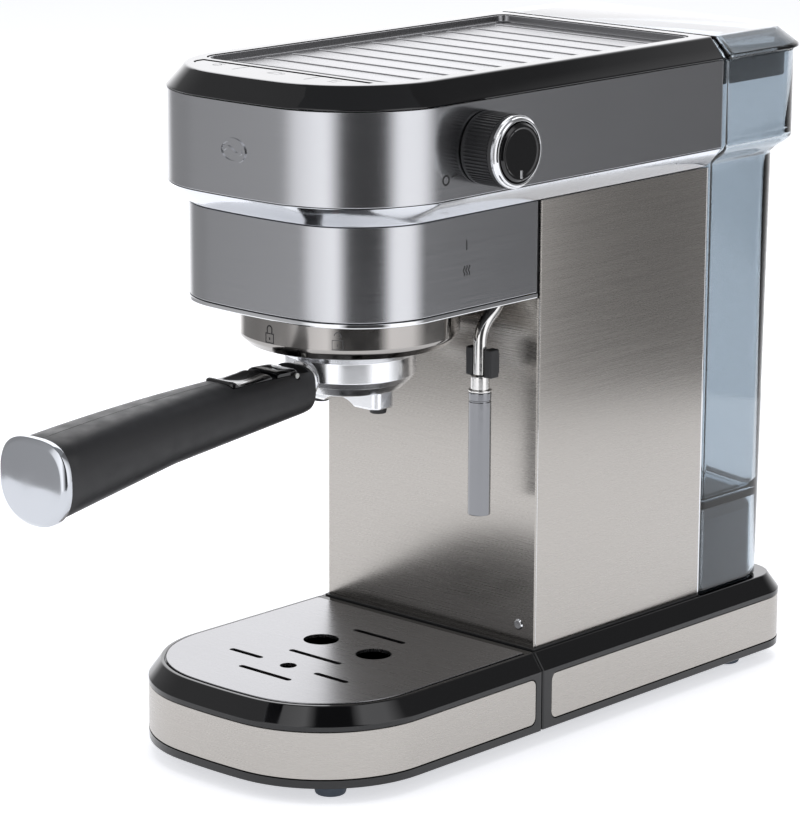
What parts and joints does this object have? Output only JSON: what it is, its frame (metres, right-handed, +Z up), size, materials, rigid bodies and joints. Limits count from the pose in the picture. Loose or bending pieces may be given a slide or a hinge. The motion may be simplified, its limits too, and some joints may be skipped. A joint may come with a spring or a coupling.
{
  "type": "espresso machine",
  "caption": "Slim pump espresso machine with steel panels, bayonet portafilter, steam wand, drip tray and lift-off water tank.",
  "frame": {"origin": "centre of the bounding box of the whole machine with its handle, on the worktop", "axes": "+Z up, -Y to the front where the handle and drip tray are, +X to the side with the knob and steam wand"},
  "size_m": [0.1656, 0.4242, 0.3041],
  "materials": {
    "satin_black_abs": "satin moulded ABS",
    "gloss_black_abs": "piano-black polished ABS",
    "foot_rubber": "matte blue-grey rubber",
    "brushed_steel": "brushed along the machine's length",
    "chrome": "polished",
    "chrome_abs": "chrome-plated ABS",
    "red_plastic": "moulded",
    "silicone": "translucent white silicone",
    "pump_metal": "coil body in grey",
    "circuit_board": "green laminate",
    "cast_aluminium": "as cast",
    "brass": "machined",
    "grey_abs": "satin moulded ABS",
    "smoke_tritan": "smoke-tinted transparent plastic"
  },
  "bodies": {
    "machine": {"base_plate": "satin_black_abs", "foot_front_left": "foot_rubber", "foot_front_right": "foot_rubber", "foot_rear_left": "foot_rubber", "foot_rear_right": "foot_rubber", "rear_housing": "gloss_black_abs", "rear_band": "brushed_steel", "cable_gland": "satin_black_abs", "column_frame": "satin_black_abs", "column_front_panel": "brushed_steel", "column_panel_left": "brushed_steel", "column_panel_right": "brushed_steel", "pump": "pump_metal", "pump_bracket": "satin_black_abs", "suction_hose": "silicone", "pressure_hose": "silicone", "head_lower_wrap": "brushed_steel", "head_bottom_trim": "chrome", "head_underside": "satin_black_abs", "chrome_strip": "chrome_abs", "head_chassis": "satin_black_abs", "head_upper_wrap": "brushed_steel", "top_frame": "gloss_black_abs", "cup_plate": "brushed_steel", "control_board": "circuit_board", "thermoblock": "cast_aluminium", "steam_valve": "brass", "steam_pipe": "cast_aluminium", "wand_socket": "brass", "group_collar": "chrome", "group_head": "cast_aluminium", "group_gasket": "silicone", "shower_screen": "brushed_steel", "screen_screw": "brushed_steel", "tank_dock": "grey_abs"},
    "knob": {"knob_grip": "satin_black_abs", "knob_ring": "chrome_abs", "knob_face": "gloss_black_abs", "knob_shaft": "brass"},
    "left_key": {"key_left": "gloss_black_abs"},
    "middle_key": {"key_middle": "gloss_black_abs"},
    "right_key": {"key_right": "gloss_black_abs"},
    "portafilter": {"portafilter_body": "chrome", "filter_basket": "brushed_steel", "spout_block": "chrome", "handle_shell": "satin_black_abs", "handle_cap": "chrome_abs", "lever_pin": "chrome"},
    "basket_lever": {"retainer_lever": "gloss_black_abs"},
    "steam_wand": {"wand_pipe": "chrome", "wand_grip": "satin_black_abs"},
    "froth_sleeve": {"wand_sleeve": "brushed_steel"},
    "drip_tray": {"tray_body": "gloss_black_abs", "tray_band": "brushed_steel"},
    "grid": {"drip_grid": "brushed_steel"},
    "float": {"water_float": "red_plastic"},
    "water_tank": {"tank_body": "smoke_tritan"},
    "valve": {"tank_valve": "red_plastic"},
    "lid": {"tank_lid": "smoke_tritan", "lid_skirt": "gloss_black_abs"}
  },
  "joints": [
    {"name": "knob_turn", "type": "hinge", "parent": "machine", "child": "knob", "pos_m": [0.07075, -0.01915, 0.2744], "axis": [1, 0, 0], "range_deg": [-63, 0]},
    {"name": "left_key_press", "type": "slide", "parent": "machine", "child": "left_key", "axis": [0, 0, -1], "range_m": [0, 0.0015], "stiffness_N_per_m": 400},
    {"name": "middle_key_press", "type": "slide", "parent": "machine", "child": "middle_key", "axis": [0, 0, -1], "range_m": [0, 0.0015], "stiffness_N_per_m": 400},
    {"name": "right_key_press", "type": "slide", "parent": "machine", "child": "right_key", "axis": [0, 0, -1], "range_m": [0, 0.0015], "stiffness_N_per_m": 400},
    {"name": "portafilter_twist", "type": "hinge", "parent": "machine", "child": "portafilter", "pos_m": [-0.00925, -0.02585, 0.185], "axis": [0, 0, 1], "range_deg": [0, 45]},
    {"name": "basket_lever_flip", "type": "hinge", "parent": "portafilter", "child": "basket_lever", "pos_m": [-0.00925, -0.06915, 0.1748], "axis": [-1, 0, 0], "range_deg": [0, 30]},
    {"name": "wand_tilt", "type": "hinge", "parent": "machine", "child": "steam_wand", "pos_m": [0.04075, 0.01685, 0.207], "axis": [0, -1, 0], "range_deg": [0, 35]},
    {"name": "sleeve_slide", "type": "slide", "parent": "steam_wand", "child": "froth_sleeve", "axis": [0, 0, -1], "range_m": [0, 0.05]},
    {"name": "tray_slide", "type": "slide", "parent": "machine", "child": "drip_tray", "axis": [0, -1, 0], "range_m": [0, 0.15]},
    {"name": "grid_lift", "type": "slide", "parent": "drip_tray", "child": "grid", "axis": [0, 0, 1], "range_m": [0, 0.06]},
    {"name": "float_rise", "type": "slide", "parent": "drip_tray", "child": "float", "axis": [0, 0, 1], "range_m": [0, 0.005]},
    {"name": "tank_lift", "type": "slide", "parent": "machine", "child": "water_tank", "axis": [0, 0, 1], "range_m": [0, 0.1]},
    {"name": "valve_lift", "type": "slide", "parent": "water_tank", "child": "valve", "axis": [0, 0, 1], "range_m": [0, 0.003]},
    {"name": "lid_open", "type": "hinge", "parent": "water_tank", "child": "lid", "pos_m": [-0.00925, 0.14935, 0.302], "axis": [1, 0, 0], "range_deg": [0, 85]}
  ]
}
